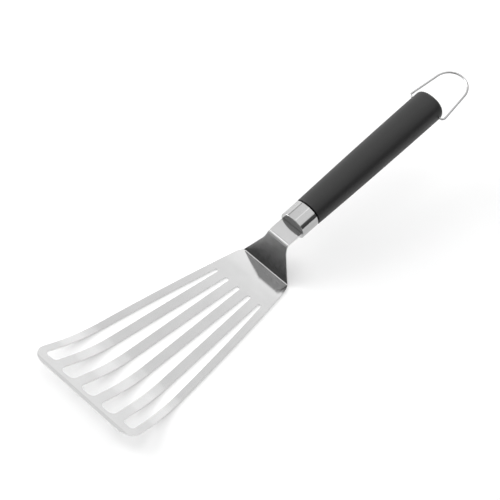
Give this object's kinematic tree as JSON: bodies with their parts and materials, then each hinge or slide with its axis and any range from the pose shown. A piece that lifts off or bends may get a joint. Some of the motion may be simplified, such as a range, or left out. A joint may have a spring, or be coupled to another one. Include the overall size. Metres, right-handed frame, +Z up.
{
  "type": "slotted spatula",
  "caption": "Kitchen spatula with a thin, slotted, folded steel blade, a steel ferrule, a soft black grip and a wire loop that swings, for turning and lifting food.",
  "frame": {"origin": "middle of the solid land between the slots and the heel fold, on the flat underside of the blade", "axes": "+X from the blade towards the handle, +Y to the left, +Z up, with the flat of the blade lying on z = 0"},
  "size_m": [0.395, 0.0998, 0.0663],
  "materials": {
    "blade_steel": "bright satin spring steel",
    "ferrule_steel": "polished stainless steel",
    "core_plastic": "as moulded",
    "grip_rubber": "matte soft touch with a fine grain",
    "pin_steel": "plain turned steel",
    "loop_steel": "drawn stainless wire"
  },
  "bodies": {
    "spatula": {"blade": "blade_steel", "ferrule": "ferrule_steel", "handle_core": "core_plastic", "grip": "grip_rubber", "tang_pin_front": "pin_steel", "tang_pin_rear": "pin_steel"},
    "loop": {"hanging_loop": "loop_steel"}
  },
  "joints": [
    {"name": "loop_swing", "type": "hinge", "parent": "spatula", "child": "loop", "pos_m": [0.18071, 0, 0.05489], "axis": [0, 1, 0], "range_deg": [-160, 160]}
  ]
}
